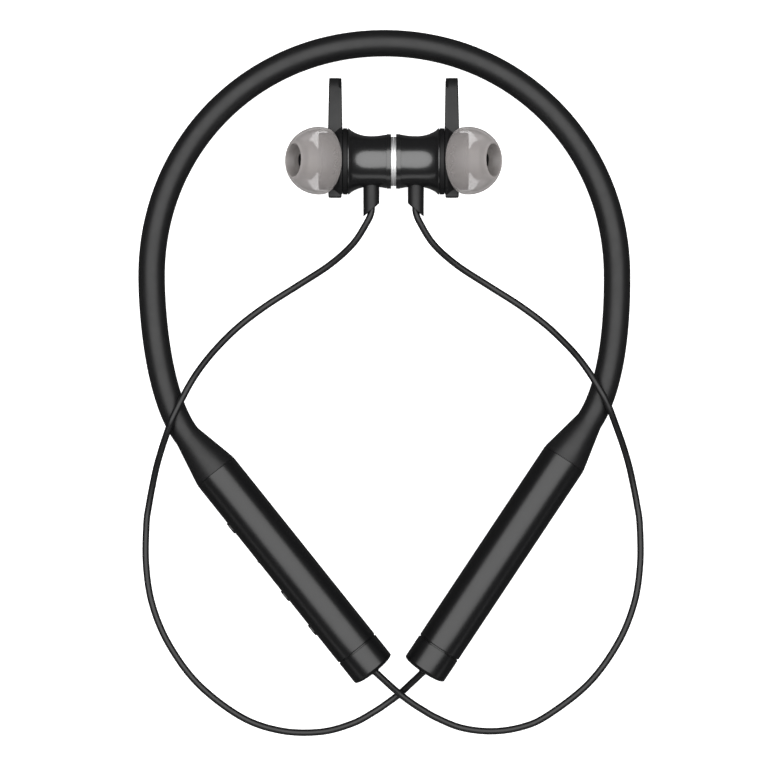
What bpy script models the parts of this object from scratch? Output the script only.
"""Neckband earphones, laid flat: a springy silicone neckband with a round housing on each
end, two earbuds held back to back by their magnets, and a thin cable to each bud.

Metres, +Z up. The object lies on Z = 0 with the neckband's arch towards +Y. The origin is
under the middle of the object without its cables. "Left" is the -X side.
"""
import math

import bmesh
import bpy
from mathutils import Matrix, Vector

MM = 0.001
GAP = 0.3 * MM                      # clearance between touching pieces

# Neckband -------------------------------------------------------------------------------
BAND_RADIUS = 3.35 * MM             # silicone sleeve, outside
BAND_BORE = 1.8 * MM                # channel for the spring wire and the harness
BAND_HALF_WIDTH = 58.25 * MM        # centreline at its widest
BAND_WIDEST_Y = 20.1 * MM
BAND_ARCH_RISE = 58.2 * MM          # from the widest point up to the top of the arch
BAND_ROUNDNESS = 0.562              # handle length of the arch's quarter curves
BAND_REST_Z = BAND_RADIUS + 0.03 * MM
COLLAR_LENGTH = 10.95 * MM          # flare between the band and a housing
SIDE_HANDLES = {"left": (11.0 * MM, 11.0 * MM), "right": (2.5 * MM, 13.5 * MM)}
ARCH_STEPS = 12
SIDE_STEPS = 7
WIRE_RADIUS = 0.6 * MM
HARNESS_RADIUS = 0.5 * MM
LEAD_OFFSET = 0.85 * MM             # wire outwards, harness inwards, of the bore's axis

# Housings -------------------------------------------------------------------------------
HOUSING_RADIUS = 5.75 * MM
HOUSING_WALL = 1.1 * MM
HOUSING_NOSE = 1.2 * MM             # thickness of the closed end behind the collar
BARREL_LENGTH = 56.5 * MM
CAP_LENGTH = 6.3 * MM
CAP_DOME = 0.85 * MM
CAP_SPIGOT = 3.6 * MM
CAP_WALL = 1.2 * MM
CAP_EDGE = 0.5 * MM
GROMMET_RADIUS = 1.05 * MM
SHOULDER = {"left": (-42.15 * MM, -28.8 * MM), "right": (44.95 * MM, -25.6 * MM)}
LEAN = {"left": math.radians(38.6), "right": math.radians(33.6)}
OUTWARD = {"left": -1.0, "right": 1.0}   # sign of a housing's local Y that faces outwards
SIDE_SIGN = {"left": -1.0, "right": 1.0}

# Keys on the left housing, at this pitch down its outer side -----------------------------
KEY_FIRST = 13.55 * MM
KEY_LAST_SPACE = 10.49 * MM         # from the last of four places to the barrel's end
KEY_PITCH = (BARREL_LENGTH - KEY_FIRST - KEY_LAST_SPACE) / 3
KEY_SIZE = (3.25 * MM, 2.3 * MM)    # along and across the barrel
KEY_PROUD = 0.33 * MM
KEY_CLEARANCE = 0.15 * MM
KEY_FLANGE = 0.6 * MM               # how far the inner flange is wider, each way
KEY_FLANGE_OUT = 3.95 * MM          # distance of the flange's outer face from the axis
KEY_FLANGE_THICK = 0.5 * MM
KEY_TRAVEL = 0.3 * MM
KEYS = {"volume_up": 0, "play": 2, "volume_down": 3}
LIGHT_PLACE = 1                     # the status light takes the second place
LIGHT_RADIUS = 0.42 * MM
MIC_PORT_RADIUS = 0.35 * MM
MIC_FROM_LIGHT = 0.48 * KEY_PITCH

# Inside the left housing: distances outwards from the barrel's axis ----------------------
BOARD_THICK = 0.8 * MM
MAIN_BOARD_OUT = -1.8 * MM          # the main board's outer face
MAIN_BOARD_WIDTH = 2 * (HOUSING_RADIUS - HOUSING_WALL) - 2.5 * MM
KEY_BOARD_THICK = 0.6 * MM
KEY_BOARD_OUT = 1.15 * MM
KEY_BOARD_WIDTH = 6.0 * MM
SWITCH_SIZE = (3.0 * MM, 2.6 * MM)
SWITCH_PLUNGER = 0.4 * MM
USB_WIDTH = 8.6 * MM                # along the barrel
USB_THICK = 3.0 * MM
USB_DEPTH = 6.6 * MM
USB_WALL = 0.3 * MM
USB_LAND = 0.4 * MM                 # depth of the flat land round the port
USB_LAND_MARGIN = 1.6 * MM
USB_RECESS = 0.25 * MM              # the shell of the port sits this far inside the land

# Inside the right housing ----------------------------------------------------------------
CELL_RADIUS = 4.1 * MM
CELL_LENGTH = BARREL_LENGTH - 20.5 * MM
PAD_THICK = 1.5 * MM

# Earbuds: distances outwards from the plane where the two meet ---------------------------
BUDS_X = 2.3 * MM
BUD_Y = 48.4 * MM
BUD_Z = 8.85 * MM
DISC_RADIUS = 6.12 * MM
DISC_THICK = 0.5 * MM
BUD_END_RADIUS = 6.8 * MM           # round the magnet
BUD_WAIST_RADIUS = 6.3 * MM
BUD_FLANGE_RADIUS = 8.25 * MM
BUD_WALL = 1.1 * MM
BUD_LENGTH = 11.35 * MM             # to the seam with the front cover
FLANGE_THICK = 1.0 * MM
HUB_RADIUS = 5.6 * MM
WING_CENTRE = 14.6 * MM
WING_WIDTH = 3.3 * MM
WING_RING_WALL = 1.1 * MM
HORN_REACH = 20.9 * MM              # from the bud's axis to the horn's top
HEEL_REACH = 8.6 * MM
NOZZLE_TILT = math.radians(28.5)
NOZZLE_ROOT = 13.0 * MM             # where its axis meets the bud's axis
NOZZLE_RADIUS = 3.0 * MM
NOZZLE_BARB = 0.22 * MM
NOZZLE_BORE = 2.1 * MM
NOZZLE_LENGTH = 11.2 * MM
NOZZLE_SINK = 2.6 * MM              # the nozzle's foot starts this far along, inside the hub
NOZZLE_FOOT = 4.6 * MM              # and its wide part ends here
NOZZLE_FLARE = 0.7 * MM
TIP_RADIUS = 8.4 * MM
TIP_CENTRE = 6.35 * MM              # along the nozzle's axis
TIP_SKIRT = 2.2 * MM                # how far the skirt runs back past the dome's centre
TIP_WALL = 0.65 * MM
TIP_MOUTH = 3.75 * MM
TIP_CORE_BORE = 3.45 * MM
TIP_CORE_WALL = 1.35 * MM
TIP_CORE_START = 7.1 * MM
MAGNET_RADIUS = 4.6 * MM
MAGNET_THICK = 2.4 * MM
DRIVER_RADIUS = 4.9 * MM
DRIVER_THICK = 3.0 * MM
BOOT_PLACE = 5.54 * MM
BOOT_RADIUS = 2.0 * MM
BOOT_SEAT = 5.75 * MM               # depth of its flat seat, from the bud's axis
BOOT_SHORT = 10.4 * MM              # reach of its side by the magnets
BOOT_LONG = 13.75 * MM              # and of its outer side
BOOT_BORE = 1.15 * MM
BOOT_BORE_FLARE = 0.5 * MM          # its bore opens out by this much at the mouth
BOOT_BORE_TOP = 9.4 * MM

# Cables ---------------------------------------------------------------------------------
CABLE_RADIUS = 0.75 * MM
CABLE_POINTS = 20                   # along each of a cable's two stretches
CABLE_CLEARANCE = 0.5 * MM          # between a cable and the sleeve that it crosses
CABLE_LEAD = 1.2 * MM               # straight stretch where a cable leaves its grommet
BOOT_LEAD = 2.2 * MM                # and how far it is straight below its boot
# Each route runs from a cap to the crossing, round the outside, over the band and to a bud.
# A point is its X and Y in millimetres and the share that it has climbed, from the surface
# to the height of what it passes or reaches there (see `summit`).
LEFT_ROUTE = [
    (6.75, -81.85, 0.537), (3.93, -84.6, 0.155), (0.9, -86.95, 0.024), (-2.6, -89.3, 0.0),
    (-8.0, -92.2, 0.0), (-16.0, -94.3, 0.0), (-26.0, -94.0, 0.0), (-36.0, -90.5, 0.0),
    (-46.75, -82.25, 0.0), (-54.1, -72.25, 0.0), (-58.25, -62.25, 0.0),
    (-59.8, -52.25, 0.0), (-59.7, -42.25, 0.013), (-59.0, -37.25, 0.075),
    (-58.0, -32.25, 0.222), (-56.8, -27.25, 0.441), (-55.1, -22.0, 0.734),
    (-53.7, -18.2, 0.913), (-52.3, -14.75, 1.001), (-48.5, -7.25, 0.913),
    (-45.3, -2.25, 0.713), (-41.2, 2.75, 0.432), (-36.1, 7.75, 0.158),
    (-29.5, 12.75, 0.021), (-21.6, 17.75, 0.064), (-13.75, 22.75, 0.362),
    (-8.0, 27.75, 0.721), (-4.6, 32.75, 0.932),
]
RIGHT_ROUTE = [
    (1.1, -82.05, 0.769), (3.93, -84.6, 0.547), (6.85, -86.85, 0.406), (9.9, -88.85, 0.266),
    (13.0, -90.65, 0.155), (19.15, -93.2, 0.034), (26.6, -94.15, 0.0), (34.0, -93.2, 0.0),
    (40.7, -90.35, 0.0), (51.15, -82.25, 0.0), (58.5, -72.25, 0.0), (62.65, -62.25, 0.0),
    (64.2, -52.25, 0.0), (64.1, -42.25, 0.0), (63.4, -37.25, 0.018), (62.4, -32.25, 0.096),
    (61.2, -27.25, 0.253), (59.5, -22.0, 0.493), (56.7, -14.75, 0.85), (55.5, -12.0, 0.951),
    (54.1, -9.3, 1.003), (51.4, -4.75, 0.923), (48.6, -0.75, 0.743), (45.6, 2.75, 0.508),
    (40.5, 7.75, 0.194), (33.9, 12.75, 0.027), (26.0, 17.75, 0.064), (18.15, 22.75, 0.362),
    (12.4, 27.75, 0.721), (9.1, 32.75, 0.932),
]
ROUTE_START = {"left": "right", "right": "left"}   # the cap that each bud's cable leaves
SPLIT_AT = 0.44                     # share of a cable in its lower stretch

# Colours and surface values -------------------------------------------------------------
FINISHES = {
    "silicone_black": ((0.012, 0.012, 0.013), 0.55, 0.0),
    "satin_black": ((0.010, 0.010, 0.011), 0.35, 0.0),
    "gloss_black": ((0.009, 0.009, 0.010), 0.18, 0.0),
    "silicone_grey": ((0.34, 0.32, 0.31), 0.45, 0.0),
    "bright_metal": ((0.80, 0.80, 0.81), 0.22, 1.0),
    "steel": ((0.55, 0.55, 0.56), 0.35, 1.0),
    "nickel": ((0.62, 0.60, 0.56), 0.30, 1.0),
    "board_green": ((0.01, 0.09, 0.04), 0.45, 0.0),
    "cell_wrap": ((0.05, 0.12, 0.30), 0.40, 0.0),
    "foam": ((0.03, 0.03, 0.03), 0.95, 0.0),
    "nylon_white": ((0.60, 0.60, 0.58), 0.50, 0.0),
    "clear_plastic": ((0.75, 0.80, 0.85), 0.15, 0.0),
    "copper_lead": ((0.35, 0.05, 0.03), 0.45, 0.0),
}

PARTS = None
CUTTERS = None
MATERIALS = {}


# ---------------------------------------------------------------------------- the set-up
def clear_scene():
    """Empty the file of objects."""
    for thing in list(bpy.data.objects):
        bpy.data.objects.remove(thing, do_unlink=True)


def make_collection(name):
    """Return a new collection linked to the scene."""
    collection = bpy.data.collections.new(name)
    bpy.context.scene.collection.children.link(collection)
    return collection


def make_materials():
    """Make one Principled material for each finish."""
    for name, (colour, roughness, metallic) in FINISHES.items():
        material = bpy.data.materials.new(name)
        material.use_nodes = True
        shader = material.node_tree.nodes["Principled BSDF"]
        shader.inputs["Base Color"].default_value = (*colour, 1.0)
        shader.inputs["Roughness"].default_value = roughness
        shader.inputs["Metallic"].default_value = metallic
        material.diffuse_color = (*colour, 1.0)
        MATERIALS[name] = material


def add_part(name, data, place, finish):
    """Put a mesh or curve in the parts collection as a named piece."""
    thing = bpy.data.objects.new(name, data)
    PARTS.objects.link(thing)
    thing.matrix_world = place
    thing.data.materials.append(MATERIALS[finish])
    return thing


def add_cutter(name, data, place):
    """Put a mesh in the cutters collection."""
    thing = bpy.data.objects.new(name, data)
    CUTTERS.objects.link(thing)
    thing.matrix_world = place
    thing.hide_render = True
    thing.display_type = "WIRE"
    return thing


def boolean(thing, other, operation="DIFFERENCE"):
    """Cut another object from a piece, or join it on."""
    modifier = thing.modifiers.new(f"{operation.lower()} {other.name}", "BOOLEAN")
    modifier.operation = operation
    modifier.solver = "EXACT"
    modifier.object = other


# ------------------------------------------------------------------------------- shapes
def profile_mesh(name, profile, closed):
    """Return a mesh of edges through (radius, height) points."""
    points = [(radius, 0.0, height) for radius, height in profile]
    edges = [(i, i + 1) for i in range(len(points) - 1)]
    if closed:
        edges.append((len(points) - 1, 0))
    mesh = bpy.data.meshes.new(name)
    mesh.from_pydata(points, edges, [])
    return mesh


def turn(thing, steps):
    """Turn a profile round the object's Z axis."""
    screw = thing.modifiers.new("turned", "SCREW")
    screw.steps = steps
    screw.render_steps = steps
    screw.use_merge_vertices = True
    screw.merge_threshold = 0.00001
    screw.use_smooth_shade = True


def turned(name, profile, place, finish, steps=24, closed=False):
    """Return a piece turned from a profile that runs down its outer side."""
    thing = add_part(name, profile_mesh(name, profile, closed), place, finish)
    turn(thing, steps)
    return thing


def turned_cutter(name, profile, place, steps=24, closed=False):
    """Return a cutter turned from a profile that runs down its outer side."""
    thing = add_cutter(name, profile_mesh(name, profile, closed), place)
    turn(thing, steps)
    return thing


def rod_profile(radius, low, high):
    """Return the profile of a plain round rod."""
    return [(0.0, high), (radius, high), (radius, low), (0.0, low)]


def box_mesh(name, low, high):
    """Return a box mesh between two corners."""
    low, high = Vector(low), Vector(high)
    mesh = bpy.data.meshes.new(name)
    shape = bmesh.new()
    bmesh.ops.create_cube(shape, size=1.0)
    for vertex in shape.verts:
        vertex.co = (low + high) / 2 + Vector(a * b for a, b in zip(vertex.co, high - low))
    shape.to_mesh(mesh)
    shape.free()
    return mesh


def pill_outline(length, width, steps=5):
    """Return the points of an outline with half-round ends, long side along X."""
    reach, radius = (length - width) / 2, width / 2
    points = []
    for centre, start in ((reach, -math.pi / 2), (-reach, math.pi / 2)):
        for step in range(steps + 1):
            angle = start + math.pi * step / steps
            points.append((centre + radius * math.cos(angle), radius * math.sin(angle)))
    return points


def slab_mesh(name, outlines, low, high):
    """Return the mesh of flat outlines (holes included) made thick from low to high."""
    curve = bpy.data.curves.new(name, "CURVE")
    curve.dimensions = "2D"
    curve.fill_mode = "BOTH"
    curve.extrude = (high - low) / 2
    for outline in outlines:
        spline = curve.splines.new("POLY")
        spline.points.add(len(outline) - 1)
        for point, (x, y) in zip(spline.points, outline):
            point.co = (x, y, 0.0, 1.0)
        spline.use_cyclic_u = True
    mesh = curve_to_mesh(name, curve)
    mesh.transform(Matrix.Translation((0, 0, (low + high) / 2)))
    return mesh


def curve_to_mesh(name, curve):
    """Return a curve's surface as a closed mesh, and remove the curve."""
    thing = bpy.data.objects.new(name, curve)
    bpy.context.scene.collection.objects.link(thing)
    graph = bpy.context.evaluated_depsgraph_get()
    mesh = bpy.data.meshes.new_from_object(thing.evaluated_get(graph))
    bpy.data.objects.remove(thing, do_unlink=True)
    bpy.data.curves.remove(curve)
    shape = bmesh.new()
    shape.from_mesh(mesh)
    bmesh.ops.remove_doubles(shape, verts=shape.verts, dist=0.000001)
    bmesh.ops.recalc_face_normals(shape, faces=shape.faces)
    shape.to_mesh(mesh)
    shape.free()
    mesh.name = name
    return mesh


def tube_curve(name, points, radius, resolution, factors=None):
    """Return a round tube's curve through points, with filled ends."""
    curve = bpy.data.curves.new(name, "CURVE")
    curve.dimensions = "3D"
    curve.twist_mode = "Z_UP"
    curve.bevel_depth = radius
    curve.bevel_resolution = resolution
    curve.use_fill_caps = True
    spline = curve.splines.new("POLY")
    spline.points.add(len(points) - 1)
    for index, point in enumerate(points):
        spline.points[index].co = (*point, 1.0)
        spline.points[index].radius = factors[index] if factors else 1.0
    return curve


# --------------------------------------------------------------------- frames of reference
def housing_frame(side):
    """Return a housing's frame: origin at its shoulder, X down its axis, Z up."""
    x, y = SHOULDER[side]
    lean = LEAN[side]
    along = Vector((-SIDE_SIGN[side] * math.sin(lean), -math.cos(lean), 0.0))
    up = Vector((0.0, 0.0, 1.0))
    rows = Matrix((along, up.cross(along), up)).transposed().to_4x4()
    return Matrix.Translation((x, y, HOUSING_RADIUS)) @ rows


def bud_frame(side):
    """Return an earbud's frame: origin on the meeting plane, X outwards along its axis."""
    out = Vector((SIDE_SIGN[side], 0.0, 0.0))
    up = Vector((0.0, 0.0, 1.0))
    rows = Matrix((out, up.cross(out), up)).transposed().to_4x4()
    return Matrix.Translation((BUDS_X, BUD_Y, BUD_Z)) @ rows


def turned_along_x(frame):
    """Return a frame whose Z, the turning axis, lies along the given frame's X."""
    return frame @ Matrix.Rotation(math.pi / 2, 4, "Y")


def nozzle_frame(side):
    """Return the frame of an angled nozzle: Z out along the nozzle's axis."""
    root = bud_frame(side) @ Matrix.Translation((NOZZLE_ROOT, 0, 0))
    return root @ Matrix.Rotation(math.pi / 2 - NOZZLE_TILT, 4, "Y")


def outward_frame(side, along, distance=0.0):
    """Return a frame on a housing: X down its axis, Z facing outwards from the axis."""
    turn_out = Matrix.Rotation(-OUTWARD[side] * math.pi / 2, 4, "X")
    place = Matrix.Translation((along, 0.0, 0.0))
    return housing_frame(side) @ place @ turn_out @ Matrix.Translation((0, 0, distance))


# ----------------------------------------------------------------------------- neckband
def bezier(start, handle_a, handle_b, end, steps):
    """Return points on a cubic curve, both ends included."""
    points = []
    for step in range(steps + 1):
        t = step / steps
        points.append(start * (1 - t) ** 3 + handle_a * 3 * t * (1 - t) ** 2
                      + handle_b * 3 * t * t * (1 - t) + end * t ** 3)
    return points


def collar_start(side):
    """Return the point where the sleeve starts to flare."""
    return housing_frame(side) @ Vector((-COLLAR_LENGTH - GAP, 0.0, 0.0))


def sleeve_height(side, y):
    """Return how high the sleeve's centreline is at Y: it climbs towards the housing."""
    low = collar_start(side).y
    share = min(1.0, max(0.0, (BAND_WIDEST_Y - y) / (BAND_WIDEST_Y - low)))
    ease = share * share * (3 - 2 * share)
    return BAND_REST_Z + (HOUSING_RADIUS - BAND_REST_Z) * ease


def sleeve_centreline(side):
    """Return one half of the neckband's centreline, from the arch's top to the flare."""
    sign = SIDE_SIGN[side]
    top = Vector((0.0, BAND_WIDEST_Y + BAND_ARCH_RISE, 0.0))
    widest = Vector((sign * BAND_HALF_WIDTH, BAND_WIDEST_Y, 0.0))
    end = collar_start(side)
    end.z = 0.0
    along = housing_frame(side).to_3x3() @ Vector((1.0, 0.0, 0.0))
    reach = BAND_ROUNDNESS * BAND_HALF_WIDTH * sign
    rise = BAND_ROUNDNESS * BAND_ARCH_RISE
    upper, lower = SIDE_HANDLES[side]
    arch = bezier(top, top + Vector((reach, 0, 0)), widest + Vector((0, rise, 0)), widest,
                  ARCH_STEPS)
    flank = bezier(widest, widest - Vector((0, upper, 0)), end - along * lower, end,
                   SIDE_STEPS)
    points = arch + flank[1:]
    for point in points:
        point.z = sleeve_height(side, point.y)
    return points


def offset_line(points, side, distance):
    """Return points moved sideways, away from the middle of the neckband."""
    moved = []
    for index, point in enumerate(points):
        before = points[max(0, index - 1)]
        after = points[min(len(points) - 1, index + 1)]
        way = after - before
        if index == 0:
            way = Vector((SIDE_SIGN[side], 0.0, 0.0))
        across = Vector((0, 0, 1)).cross(way).normalized() * SIDE_SIGN[side]
        moved.append(point + across * distance)
    return moved


def make_band_sleeve(side):
    """Make one half of the silicone sleeve with its flared collar and its bore."""
    points = sleeve_centreline(side)
    points[0].x = SIDE_SIGN[side] * GAP / 2
    square = Vector((SIDE_SIGN[side] * 1 * MM, 0.0, 0.0))
    points.insert(1, points[0] + square)
    big_end = housing_frame(side) @ Vector((-GAP, 0.0, 0.0))
    factors = [1.0] * len(points) + [HOUSING_RADIUS / BAND_RADIUS]
    outer = tube_curve("sleeve", points + [big_end], BAND_RADIUS, 4, factors)
    name = f"band_sleeve_{side}"
    sleeve = add_part(name, curve_to_mesh(name, outer), Matrix.Identity(4), "silicone_black")
    past = Vector((SIDE_SIGN[side] * 2 * MM, 0.0, 0.0))
    beyond = housing_frame(side) @ Vector((2 * MM, 0.0, 0.0))
    bore = tube_curve("bore", [points[0] - past] + points + [big_end, beyond], BAND_BORE, 2)
    boolean(sleeve, add_cutter(f"bore_{side}", curve_to_mesh(f"bore_{side}", bore),
                               Matrix.Identity(4)))


def make_band_lead(name, radius, distance, stop, finish):
    """Make a lead that runs through the whole neckband at an offset in its bore."""
    halves = {}
    for side in ("left", "right"):
        line = offset_line(sleeve_centreline(side), side, distance)
        last = housing_frame(side) @ Vector((stop, OUTWARD[side] * distance, 0.0))
        halves[side] = line + [last]
    points = halves["left"][:0:-1] + halves["right"]
    curve = tube_curve(name, points, radius, 1)
    add_part(name, curve_to_mesh(name, curve), Matrix.Identity(4), finish)


def make_band_anchor(side):
    """Make the metal anchor that holds the spring wire behind a housing's nose."""
    frame = housing_frame(side)
    out = OUTWARD[side]
    place = turned_along_x(frame @ Matrix.Translation((0, out * LEAD_OFFSET, 0)))
    inner = HOUSING_NOSE + GAP
    thick = 1.0 * MM
    stem = rod_profile(0.75 * MM, -anchor_reach(), inner + thick / 2)
    anchor = turned(f"band_anchor_{side}", stem, place, "steel", steps=12)
    near = LEAD_OFFSET - HARNESS_RADIUS - GAP
    ends = sorted((out * -near, out * 3.4 * MM))
    block = box_mesh("anchor block", (inner, ends[0], -2.2 * MM),
                     (inner + thick, ends[1], 2.2 * MM))
    boolean(anchor, add_cutter(f"anchor_block_{side}", block, frame), "UNION")


def anchor_reach():
    """Return how far an anchor's stem runs up inside the collar."""
    return COLLAR_LENGTH * 0.6


# ----------------------------------------------------------------------------- housings
def make_housing_shell(side):
    """Make a barrel: a round tube, closed at the nose but for the leads' hole."""
    outer, inner = HOUSING_RADIUS, HOUSING_RADIUS - HOUSING_WALL
    edge = 0.25 * MM
    profile = [(inner, BARREL_LENGTH), (outer - edge, BARREL_LENGTH),
               (outer, BARREL_LENGTH - edge), (outer, 0.0), (BAND_BORE, 0.0),
               (BAND_BORE, HOUSING_NOSE), (inner, HOUSING_NOSE)]
    place = turned_along_x(housing_frame(side))
    return turned(f"housing_shell_{side}", profile, place, "satin_black", closed=True)


def make_end_cap(side):
    """Make a domed cap with a spigot inside the barrel and a hole for the cable."""
    outer = HOUSING_RADIUS
    spigot = HOUSING_RADIUS - HOUSING_WALL - GAP
    inside = spigot - CAP_WALL
    start = BARREL_LENGTH + GAP
    end = start + CAP_LENGTH
    hole = GROMMET_RADIUS + GAP
    dome = []
    for step in range(4):
        angle = math.pi / 2 * step / 3
        dome.append((hole + (outer - CAP_EDGE - hole) * math.sin(angle),
                     end + CAP_DOME * math.cos(angle)))
    profile = dome + [(outer - CAP_EDGE * 0.3, end - CAP_EDGE * 0.3), (outer, end - CAP_EDGE),
                      (outer, start + 0.25 * MM), (outer - 0.25 * MM, start),
                      (spigot, start), (spigot, start - CAP_SPIGOT),
                      (inside, start - CAP_SPIGOT), (inside, end - CAP_WALL),
                      (hole, end - CAP_WALL)]
    place = turned_along_x(housing_frame(side))
    turned(f"end_cap_{side}", profile, place, "satin_black", closed=True)


def grommet_end():
    """Return how far down a housing's axis its grommet ends."""
    return BARREL_LENGTH + GAP + CAP_LENGTH + CAP_DOME + 0.2 * MM


def make_grommet(side):
    """Make the rubber plug through which the cable leaves a cap."""
    seat = BARREL_LENGTH + GAP + CAP_LENGTH - CAP_WALL - GAP
    collar = GROMMET_RADIUS + 0.9 * MM
    profile = [(0.0, grommet_end()), (GROMMET_RADIUS, grommet_end()), (GROMMET_RADIUS, seat),
               (collar, seat), (collar, seat - 1.2 * MM), (0.0, seat - 1.2 * MM)]
    place = turned_along_x(housing_frame(side))
    turned(f"cable_grommet_{side}", profile, place, "silicone_black", 16)


def key_place(index):
    """Return a key's distance from the shoulder."""
    return KEY_FIRST + KEY_PITCH * index


def make_keys(shell):
    """Make the three keys and cut their windows in the shell."""
    for name, index in KEYS.items():
        place = outward_frame("left", key_place(index))
        length, width = KEY_SIZE
        head_top = HOUSING_RADIUS + KEY_PROUD
        head = slab_mesh(f"{name}_key", [pill_outline(length, width)],
                         KEY_FLANGE_OUT - KEY_FLANGE_THICK / 2, head_top)
        key = add_part(f"{name}_key", head, place, "satin_black")
        flange = slab_mesh("flange", [pill_outline(length + 2 * KEY_FLANGE,
                                                   width + 2 * KEY_FLANGE)],
                           KEY_FLANGE_OUT - KEY_FLANGE_THICK, KEY_FLANGE_OUT)
        boolean(key, add_cutter(f"{name}_flange", flange, place), "UNION")
        window = slab_mesh("window", [pill_outline(length + 2 * KEY_CLEARANCE,
                                                   width + 2 * KEY_CLEARANCE)],
                           KEY_FLANGE_OUT - 0.2 * MM, HOUSING_RADIUS + 1 * MM)
        boolean(shell, add_cutter(f"{name}_window", window, place))


def make_switches():
    """Make the tact switch under each key."""
    base = KEY_BOARD_OUT + GAP
    top = KEY_FLANGE_OUT - KEY_FLANGE_THICK - KEY_TRAVEL - 0.05 * MM
    half_x, half_y = SWITCH_SIZE[0] / 2, SWITCH_SIZE[1] / 2
    for name, index in KEYS.items():
        place = outward_frame("left", key_place(index))
        body = box_mesh(f"{name}_switch", (-half_x, -half_y, base),
                        (half_x, half_y, top - SWITCH_PLUNGER))
        switch = add_part(f"{name}_switch", body, place, "steel")
        plunger = turned_cutter(f"{name}_plunger",
                                rod_profile(0.7 * MM, base + 0.3 * MM, top), place, 12)
        boolean(switch, plunger, "UNION")


def make_light_and_microphone(shell):
    """Make the status light's pipe and the microphone, with their holes in the shell."""
    base = KEY_BOARD_OUT + GAP
    place = outward_frame("left", key_place(LIGHT_PLACE))
    pipe = [(0.0, HOUSING_RADIUS + 0.15 * MM), (LIGHT_RADIUS * 0.7, HOUSING_RADIUS + 0.12 * MM),
            (LIGHT_RADIUS, HOUSING_RADIUS - 0.05 * MM), (LIGHT_RADIUS, KEY_FLANGE_OUT),
            (2.2 * LIGHT_RADIUS, KEY_FLANGE_OUT), (2.2 * LIGHT_RADIUS, base), (0.0, base)]
    turned("status_light_pipe", pipe, place, "clear_plastic", 16)
    hole = rod_profile(LIGHT_RADIUS + KEY_CLEARANCE, KEY_FLANGE_OUT, HOUSING_RADIUS + 1 * MM)
    boolean(shell, turned_cutter("light_hole", hole, place, 16))
    place = outward_frame("left", key_place(LIGHT_PLACE) - MIC_FROM_LIGHT)
    capsule = box_mesh("microphone", (-1.5 * MM, -1.2 * MM, base),
                       (1.5 * MM, 1.2 * MM, base + 1.1 * MM))
    add_part("microphone", capsule, place, "nickel")
    port = rod_profile(MIC_PORT_RADIUS, KEY_FLANGE_OUT, HOUSING_RADIUS + 1 * MM)
    boolean(shell, turned_cutter("mic_port", port, place, 12))


def usb_centre():
    """Return the charging port's distance from the shoulder."""
    return HOUSING_NOSE + 2 * GAP + 1.1 * MM + USB_WIDTH / 2


def key_board_start():
    """Return where the key board starts, clear of the charging port."""
    return usb_centre() + USB_WIDTH / 2 + 1.3 * GAP


def make_boards():
    """Make the main board, the key board, the carrier between them and the radio module."""
    end = BARREL_LENGTH - CAP_SPIGOT - 2 * GAP
    half = MAIN_BOARD_WIDTH / 2
    place = outward_frame("left", 0.0)
    main = box_mesh("main_board", (usb_centre() - USB_WIDTH / 2, -half,
                                   MAIN_BOARD_OUT - BOARD_THICK),
                    (end, half, MAIN_BOARD_OUT))
    add_part("main_board", main, place, "board_green")
    half = KEY_BOARD_WIDTH / 2
    keys = box_mesh("key_board", (key_board_start(), -half, KEY_BOARD_OUT - KEY_BOARD_THICK),
                    (end, half, KEY_BOARD_OUT))
    add_part("key_board", keys, place, "board_green")
    low, high = MAIN_BOARD_OUT + GAP, KEY_BOARD_OUT - KEY_BOARD_THICK - GAP
    leg, plate = 1.4 * MM, 0.7 * MM
    start = key_board_start()
    staple = [(start, low), (start + leg, low), (start + leg, high - plate),
              (end - leg, high - plate), (end - leg, low), (end, low), (end, high),
              (start, high)]
    carrier = slab_mesh("board_carrier", [staple], -2.6 * MM, 2.6 * MM)
    add_part("board_carrier", carrier, place @ Matrix.Rotation(math.pi / 2, 4, "X"),
             "nylon_white")
    module = box_mesh("radio_module", (start + 8 * MM, -2.5 * MM, low),
                      (start + 18 * MM, 2.5 * MM, high - plate - GAP))
    add_part("radio_module", module, place, "nickel")


def make_charging_port(shell):
    """Make the USB-C receptacle, whose mouth faces down in a flat land on the barrel."""
    frame = housing_frame("left") @ Matrix.Translation((usb_centre(), 0, 0))
    land = HOUSING_RADIUS - USB_LAND
    half_w, half_t = USB_WIDTH / 2, USB_THICK / 2
    margin = USB_LAND_MARGIN + GAP
    flat = box_mesh("land", (-half_w - margin, -HOUSING_RADIUS, -HOUSING_RADIUS - 1 * MM),
                    (half_w + margin, HOUSING_RADIUS, -land))
    boolean(shell, add_cutter("port_land", flat, frame))
    window = box_mesh("window", (-half_w - GAP, -half_t - GAP, -HOUSING_RADIUS - 1 * MM),
                      (half_w + GAP, half_t + GAP, 0.0))
    boolean(shell, add_cutter("port_window", window, frame))
    mouth = -land + USB_RECESS
    shell_outline = [pill_outline(USB_WIDTH, USB_THICK)]
    body = slab_mesh("usb_receptacle", shell_outline, mouth, mouth + USB_DEPTH)
    receptacle = add_part("usb_receptacle", body, frame, "nickel")
    tongue = (USB_WIDTH * 0.38, USB_THICK * 0.13)
    inner = pill_outline(USB_WIDTH - 2 * USB_WALL, USB_THICK - 2 * USB_WALL)
    hole = [(-tongue[0], -tongue[1]), (tongue[0], -tongue[1]), (tongue[0], tongue[1]),
            (-tongue[0], tongue[1])]
    hollow = slab_mesh("hollow", [inner, hole], mouth - 1 * MM, mouth + USB_DEPTH - 1 * MM)
    boolean(receptacle, add_cutter("port_hollow", hollow, frame))


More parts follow.
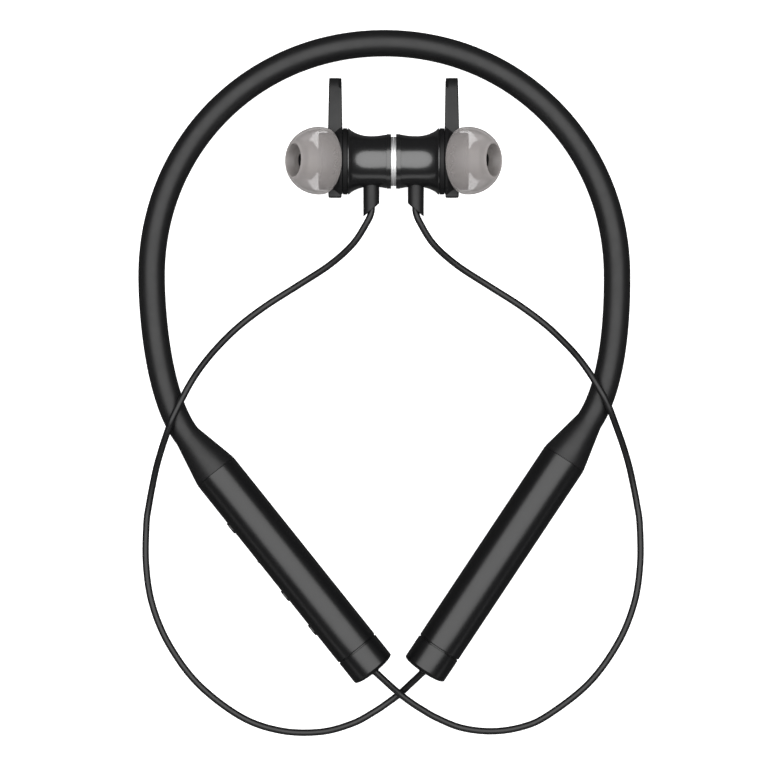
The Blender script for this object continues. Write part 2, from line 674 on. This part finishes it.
def make_battery():
    """Make the round cell, its protection board and the foam pads at its ends."""
    frame = housing_frame("right")
    start = HOUSING_NOSE + 1.0 * MM + 2 * GAP + 2.5 * MM
    place = turned_along_x(frame)
    pad_a, cell = start + PAD_THICK, start + PAD_THICK + GAP
    end = cell + CELL_LENGTH
    edge = 0.4 * MM
    turned("battery_pad_inner", rod_profile(CELL_RADIUS * 0.8, start, pad_a), place, "foam", 16)
    profile = [(0.0, end), (CELL_RADIUS - edge, end), (CELL_RADIUS, end - edge),
               (CELL_RADIUS, cell + edge), (CELL_RADIUS - edge, cell), (0.0, cell)]
    turned("battery_cell", profile, place, "cell_wrap")
    turned("battery_pad_outer",
           rod_profile(CELL_RADIUS * 0.8, end + GAP, end + GAP + PAD_THICK), place, "foam", 16)
    board = end + PAD_THICK + 2 * GAP
    mesh = box_mesh("protection_board", (board, -2.8 * MM, -0.4 * MM),
                    (board + 6.5 * MM, 2.8 * MM, 0.4 * MM))
    add_part("protection_board", mesh, frame, "board_green")


# ------------------------------------------------------------------------------ earbuds
def disc_end():
    """Return the disc's inner face's distance from the meeting plane."""
    return GAP / 2 + DISC_THICK


def bud_start():
    """Return the bud shell's magnet end's distance from the meeting plane."""
    return disc_end() + GAP


def make_bud_shell(side):
    """Make the hourglass shell of an earbud, open at the front for its cover."""
    start, end = bud_start(), BUD_LENGTH
    waist = BOOT_PLACE
    outer = [(BUD_FLANGE_RADIUS, end), (BUD_FLANGE_RADIUS - 0.4 * MM, end - 0.35 * MM)]
    for step in range(1, 5):
        t = step / 5
        ease = (1 - t) ** 2.3
        outer.append((BUD_WAIST_RADIUS + (BUD_FLANGE_RADIUS - 0.4 * MM - BUD_WAIST_RADIUS) * ease,
                      end - 0.35 * MM - (end - 0.35 * MM - waist) * t))
    outer.append((BUD_WAIST_RADIUS, waist))
    for step in range(1, 3):
        t = step / 2
        outer.append((BUD_WAIST_RADIUS + (BUD_END_RADIUS - BUD_WAIST_RADIUS) * t * t,
                      waist - (waist - start - 0.3 * MM) * t))
    outer += [(BUD_END_RADIUS - 0.3 * MM, start), (0.0, start)]
    wall = BUD_WALL
    inner = [(0.0, start + wall), (BUD_WAIST_RADIUS - wall, start + wall),
             (BUD_WAIST_RADIUS - wall, end - 3.6 * MM), (BUD_FLANGE_RADIUS - wall, end)]
    place = turned_along_x(bud_frame(side))
    shell = turned(f"bud_shell_{side}", inner + outer, place, "gloss_black")
    boot = boot_frame(side)
    seat = rod_profile(BOOT_RADIUS + GAP, BOOT_SEAT, BUD_FLANGE_RADIUS)
    boolean(shell, turned_cutter(f"boot_seat_{side}", seat, boot, 16))
    hole = rod_profile(BOOT_BORE, BUD_WAIST_RADIUS - 2 * wall, BOOT_SEAT + 0.1 * MM)
    boolean(shell, turned_cutter(f"boot_hole_{side}", hole, boot, 16))


def boot_frame(side):
    """Return a boot's frame: Z down its axis, away from the bud, X outwards."""
    frame = bud_frame(side) @ Matrix.Translation((BOOT_PLACE, 0, 0))
    to_minus_y = math.pi / 2 * (1 if SIDE_SIGN[side] > 0 else -1)
    return frame @ Matrix.Rotation(to_minus_y, 4, "X")


def make_boot(side):
    """Make the rubber boot under a bud, cut on the slant, with a bore for the cable."""
    seat = BOOT_SEAT + GAP
    peg = BOOT_BORE - 0.25 * MM
    profile = [(0.0, BOOT_LONG), (BOOT_RADIUS, BOOT_LONG), (BOOT_RADIUS, seat), (peg, seat),
               (peg, seat - 1.3 * MM), (0.0, seat - 1.3 * MM)]
    frame = boot_frame(side)
    boot = turned(f"cable_boot_{side}", profile, frame,
                  "silicone_black", 20)
    slope = math.atan2(BOOT_LONG - BOOT_SHORT, 2 * BOOT_RADIUS)
    reach = 6 * MM
    wedge = box_mesh("slant", (-reach, -reach, 0.0), (reach, reach, reach))
    middle = (BOOT_LONG + BOOT_SHORT) / 2
    place = frame @ Matrix.Translation((0, 0, middle)) @ Matrix.Rotation(-slope, 4, "Y")
    boolean(boot, add_cutter(f"boot_slant_{side}", wedge, place))
    flare = BOOT_BORE + BOOT_BORE_FLARE
    bore = [(0.0, BOOT_LONG + 1 * MM), (flare, BOOT_LONG + 1 * MM), (flare, BOOT_LONG - GAP),
            (BOOT_BORE, BOOT_SHORT), (BOOT_BORE, BOOT_BORE_TOP), (0.0, BOOT_BORE_TOP)]
    boolean(boot, turned_cutter(f"boot_bore_{side}", bore, frame, 16))


def make_magnet_end(side):
    """Make the bright disc on a bud's end and the magnet behind the wall."""
    place = turned_along_x(bud_frame(side))
    edge = 0.1 * MM
    low, high = GAP / 2, disc_end()
    disc = [(0.0, high), (DISC_RADIUS, high), (DISC_RADIUS, low + edge),
            (DISC_RADIUS - edge, low), (0.0, low)]
    turned(f"magnet_disc_{side}", disc, place, "bright_metal")
    base = bud_start() + BUD_WALL + GAP
    turned(f"magnet_{side}", rod_profile(MAGNET_RADIUS, base, base + MAGNET_THICK), place,
           "nickel")


def make_driver(side):
    """Make the sound driver: a round can with a smaller pole at its back."""
    top = BUD_LENGTH - 0.4 * MM
    bottom = top - DRIVER_THICK
    profile = [(0.0, top), (DRIVER_RADIUS, top), (DRIVER_RADIUS, bottom + 1.0 * MM),
               (DRIVER_RADIUS * 0.75, bottom + 1.0 * MM), (DRIVER_RADIUS * 0.75, bottom),
               (0.0, bottom)]
    turned(f"driver_{side}", profile, turned_along_x(bud_frame(side)), "steel")


def make_bud_cover(side):
    """Make the front cover: a flange, the hub the wing turns on, and the angled nozzle."""
    start = BUD_LENGTH + GAP
    flange = start + FLANGE_THICK
    front = WING_CENTRE + WING_WIDTH / 2
    edge = 0.25 * MM
    port = NOZZLE_BORE + 0.55 * MM
    port_end = NOZZLE_ROOT + 0.9 * MM
    profile = [(0.0, front), (HUB_RADIUS - edge, front), (HUB_RADIUS, front - edge),
               (HUB_RADIUS, flange), (BUD_FLANGE_RADIUS - edge, flange),
               (BUD_FLANGE_RADIUS, flange - edge), (BUD_FLANGE_RADIUS, start), (port, start),
               (port, port_end), (0.0, port_end)]
    cover = turned(f"bud_cover_{side}", profile, turned_along_x(bud_frame(side)),
                   "gloss_black")
    barb = NOZZLE_LENGTH - 1.6 * MM
    thick = NOZZLE_RADIUS + NOZZLE_BARB
    stem = [(0.0, NOZZLE_LENGTH), (NOZZLE_RADIUS, NOZZLE_LENGTH),
            (thick, NOZZLE_LENGTH - 0.6 * MM), (thick, barb + 0.4 * MM), (NOZZLE_RADIUS, barb),
            (NOZZLE_RADIUS, NOZZLE_FOOT + NOZZLE_FLARE),
            (NOZZLE_RADIUS + NOZZLE_FLARE, NOZZLE_FOOT),
            (NOZZLE_RADIUS + NOZZLE_FLARE, NOZZLE_SINK), (0.0, NOZZLE_SINK)]
    frame = nozzle_frame(side)
    boolean(cover, turned_cutter(f"nozzle_{side}", stem, frame), "UNION")
    bore = rod_profile(NOZZLE_BORE, 0.2 * MM, NOZZLE_LENGTH + 1 * MM)
    boolean(cover, turned_cutter(f"nozzle_bore_{side}", bore, frame))
    mesh_top = NOZZLE_LENGTH - 0.35 * MM
    turned(f"nozzle_mesh_{side}",
           rod_profile(NOZZLE_BORE - GAP / 2, mesh_top - 0.25 * MM, mesh_top), frame, "steel")


def make_ear_wing(side):
    """Make the silicone ear wing: a ring with an upright horn and a small heel."""
    frame = bud_frame(side) @ Matrix.Translation((WING_CENTRE, 0, 0))
    half = WING_WIDTH / 2
    inner = HUB_RADIUS + GAP
    outer = inner + WING_RING_WALL
    edge = 0.3 * MM
    back = -half + GAP
    profile = [(inner, half), (outer - edge, half), (outer, half - edge), (outer, back + edge),
               (outer - edge, back), (inner, back)]
    wing = turned(f"ear_wing_{side}", profile, turned_along_x(frame), "silicone_black",
                  closed=True)
    up = 1.0 if SIDE_SIGN[side] < 0 else -1.0
    flip = Matrix.Diagonal((1.0, -up, 1.0, 1.0))
    horn = horn_mesh(inner + 0.5 * MM, back, half)
    heel = box_mesh("heel", (back, inner + 0.5 * MM, -3.6 * MM),
                    (half, HEEL_REACH, 0.6 * MM))
    for label, mesh, way in (("horn", horn, flip), ("heel", heel, flip @
                             Matrix.Diagonal((1.0, -1.0, 1.0, 1.0)))):
        mesh.transform(way)
        if way.determinant() < 0:
            mesh.flip_normals()
        boolean(wing, add_cutter(f"{label}_{side}", mesh, frame), "UNION")


def horn_mesh(root, back, front):
    """Return the horn: slim as seen from above, leaning back a little from the ear."""
    mesh = bpy.data.meshes.new("horn")
    shape = bmesh.new()
    sections = []
    steps = 7
    for step in range(steps + 1):
        t = step / steps
        reach = root + (HORN_REACH - root) * t
        taper = 1.0 - 0.17 * t
        if step == steps:
            taper *= 0.86
        centre = (back + front) / 2
        half = (front - back) / 2 * taper
        depth = (1.75 - 0.75 * t) * MM * (0.8 if step == steps else 1.0)
        lean = (-0.9 - 2.6 * t * t) * MM
        corners = [(centre - half, reach, lean - depth), (centre + half, reach, lean - depth),
                   (centre + half, reach, lean + depth), (centre - half, reach, lean + depth)]
        sections.append([shape.verts.new(corner) for corner in corners])
    for low, high in zip(sections, sections[1:]):
        for index in range(4):
            after = (index + 1) % 4
            shape.faces.new((low[index], low[after], high[after], high[index]))
    shape.faces.new(sections[0][::-1])
    shape.faces.new(sections[-1])
    bmesh.ops.recalc_face_normals(shape, faces=shape.faces)
    shape.to_mesh(mesh)
    shape.free()
    return mesh


def make_ear_tip(side):
    """Make the silicone ear tip: a thin dome and skirt round a tube on the nozzle."""
    outer, inner = TIP_RADIUS, TIP_RADIUS - TIP_WALL
    rim = math.acos(-TIP_SKIRT / TIP_RADIUS)
    lip = math.asin((TIP_MOUTH + 0.45 * MM) / TIP_RADIUS)
    centre = TIP_CENTRE
    core = TIP_CORE_BORE + TIP_CORE_WALL
    front = centre + TIP_RADIUS * math.cos(lip)
    profile = [(TIP_MOUTH, front - 0.35 * MM), (TIP_MOUTH + 0.15 * MM, front)]
    steps = 6
    for step in range(steps + 1):
        angle = lip + (rim - lip) * step / steps
        profile.append((outer * math.sin(angle), centre + outer * math.cos(angle)))
    thin = math.acos(-TIP_SKIRT / inner)
    root = math.asin((core + 0.25 * MM) / inner)
    for step in range(steps + 1):
        angle = thin + (root - thin) * step / steps
        taper = 0.2 * MM * max(0.0, 1.0 - step / 2)
        profile.append(((inner + taper) * math.sin(angle),
                        centre + (inner + taper) * math.cos(angle)))
    profile += [(core, centre + inner * math.cos(root) - 0.6 * MM), (core, TIP_CORE_START),
                (TIP_CORE_BORE, TIP_CORE_START), (TIP_CORE_BORE, front - 1.6 * MM)]
    turned(f"ear_tip_{side}", profile, nozzle_frame(side), "silicone_grey", closed=True)


# ------------------------------------------------------------------------------- cables
def summit(side, y):
    """Return the height that a route's climb leads to at Y: cap, sleeve or earbud."""
    if y < -75 * MM:
        return HOUSING_RADIUS
    if y < 10 * MM:
        return sleeve_height(side, y) + BAND_RADIUS + CABLE_RADIUS + CABLE_CLEARANCE
    return BUD_Z


def cable_route(side):
    """Return the points of one bud's cable: two at its grommet, the route, two at its boot."""
    cap = housing_frame(ROUTE_START[side])
    first = [cap @ Vector((grommet_end() + GAP + lead, 0.0, 0.0)) for lead in (0.0, CABLE_LEAD)]
    rest = CABLE_RADIUS + 0.03 * MM
    middle = []
    for x, y, climbed in LEFT_ROUTE if side == "left" else RIGHT_ROUTE:
        height = rest + climbed * (summit(side, y * MM) - rest)
        middle.append(Vector((x * MM, y * MM, height)))
    frame = boot_frame(side)
    last = [frame @ Vector((0.0, 0.0, reach)) for reach in
            (BOOT_SHORT + BOOT_LEAD, BOOT_BORE_TOP + GAP)]
    return first + middle + last


def smooth_line(points, steps=24):
    """Return many points on a smooth curve through the given ones."""
    ends = [points[0] * 2 - points[1]] + points + [points[-1] * 2 - points[-2]]
    line = []
    for a, b, c, d in zip(ends, ends[1:], ends[2:], ends[3:]):
        for step in range(steps):
            t = step / steps
            line.append(0.5 * (2 * b + (c - a) * t + (2 * a - 5 * b + 4 * c - d) * t * t
                               + (3 * b - a - 3 * c + d) * t ** 3))
    line.append(points[-1].copy())
    return line


def even_points(line, start, end, count):
    """Return evenly spaced points between two distances along a line."""
    reached = [0.0]
    for a, b in zip(line, line[1:]):
        reached.append(reached[-1] + (b - a).length)
    points = []
    index = 0
    for step in range(count):
        target = start + (end - start) * step / (count - 1)
        while index < len(line) - 2 and reached[index + 1] < target:
            index += 1
        share = (target - reached[index]) / (reached[index + 1] - reached[index])
        points.append(line[index].lerp(line[index + 1], min(1.0, max(0.0, share))))
    return points


def make_cable(side):
    """Make the two stretches of a bud's cable, straight where it is held."""
    route = cable_route(side)
    line = smooth_line(route)
    length = sum((b - a).length for a, b in zip(line, line[1:]))
    split = length * SPLIT_AT
    loop = even_points(line, 0.0, split - GAP / 2, CABLE_POINTS)
    loop.insert(1, route[1])
    bud = even_points(line, split + GAP / 2, length, CABLE_POINTS)
    bud.insert(-1, route[-2])
    for label, points in (("loop", loop), ("bud", bud)):
        name = f"cable_{side}_{label}"
        add_part(name, tube_curve(name, points, CABLE_RADIUS, 2), Matrix.Identity(4),
                 "silicone_black")


# ------------------------------------------------------------------------------ the whole
def shade():
    """Shade the round meshes smooth, with sharp edges kept."""
    for thing in PARTS.objects:
        if thing.type == "MESH":
            thing.data.shade_smooth()
            thing.data.set_sharp_from_angle(angle=math.radians(35))


def main():
    """Build every piece."""
    global PARTS, CUTTERS
    clear_scene()
    PARTS = make_collection("neckband_earphones")
    CUTTERS = make_collection("cutters")
    make_materials()
    for side in ("left", "right"):
        make_band_sleeve(side)
        make_band_anchor(side)
        shell = make_housing_shell(side)
        make_end_cap(side)
        make_grommet(side)
        if side == "left":
            make_keys(shell)
            make_light_and_microphone(shell)
            make_charging_port(shell)
        make_bud_shell(side)
        make_boot(side)
        make_magnet_end(side)
        make_driver(side)
        make_bud_cover(side)
        make_ear_wing(side)
        make_ear_tip(side)
        make_cable(side)
    make_switches()
    make_boards()
    make_battery()
    make_band_lead("memory_wire", WIRE_RADIUS, LEAD_OFFSET, -anchor_reach() - GAP, "steel")
    make_band_lead("band_harness", HARNESS_RADIUS, -LEAD_OFFSET, HOUSING_NOSE + GAP,
                   "copper_lead")
    shade()


main()
